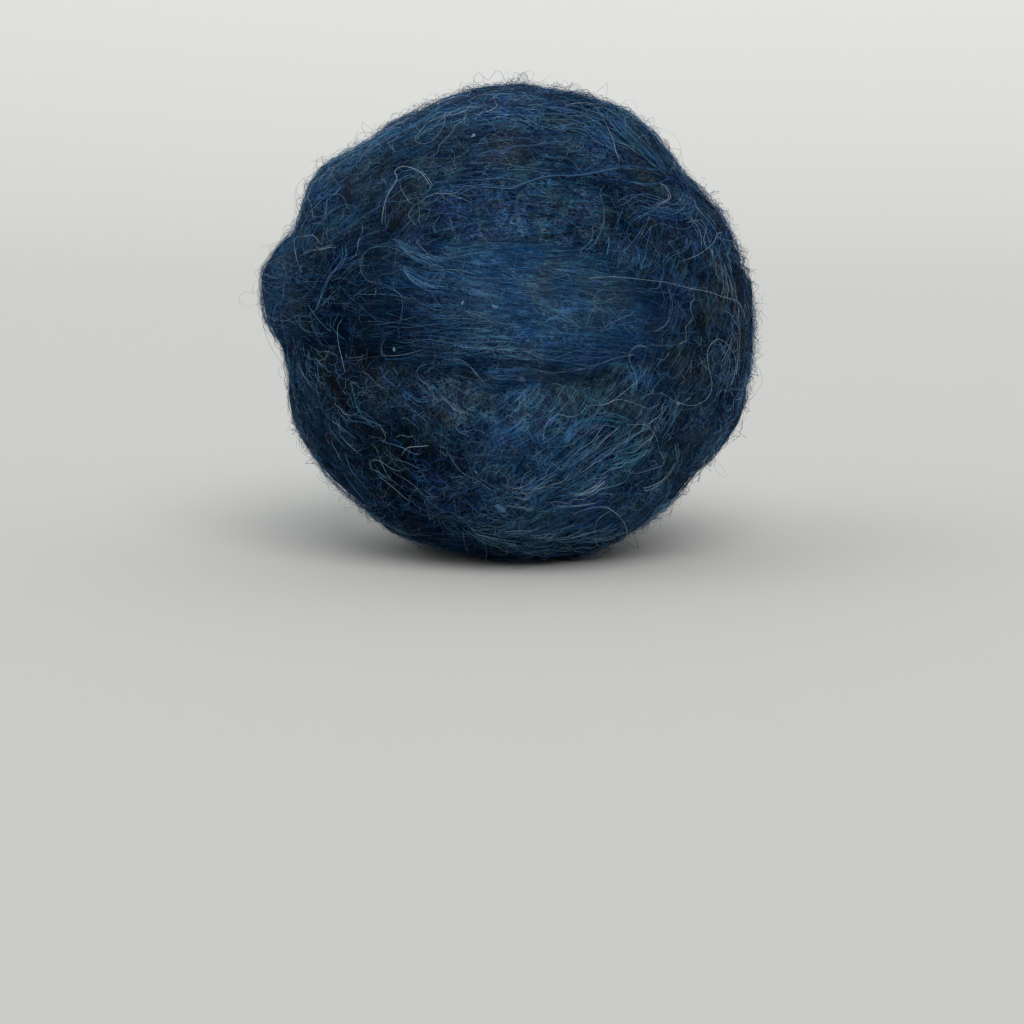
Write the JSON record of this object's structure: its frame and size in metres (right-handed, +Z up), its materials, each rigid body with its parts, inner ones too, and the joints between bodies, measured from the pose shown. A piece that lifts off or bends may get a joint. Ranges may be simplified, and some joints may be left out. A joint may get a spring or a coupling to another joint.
{
  "type": "ball of wool roving",
  "caption": "Hand-wound ball of navy blue carded wool roving, for spinning, felting and stuffing.",
  "frame": {"origin": "centre of the small flat spot on which the ball rests", "axes": "+Z up, square to the flat spot; -Y towards the front, where the broad middle wrap lies level; +X to the right of that front, away from the loose fold on the left"},
  "size_m": [0.0941, 0.0913, 0.0885],
  "materials": {
    "wool": "matt, fibrous"
  },
  "bodies": {
    "root": {"roving_ball": "wool"}
  },
  "joints": []
}
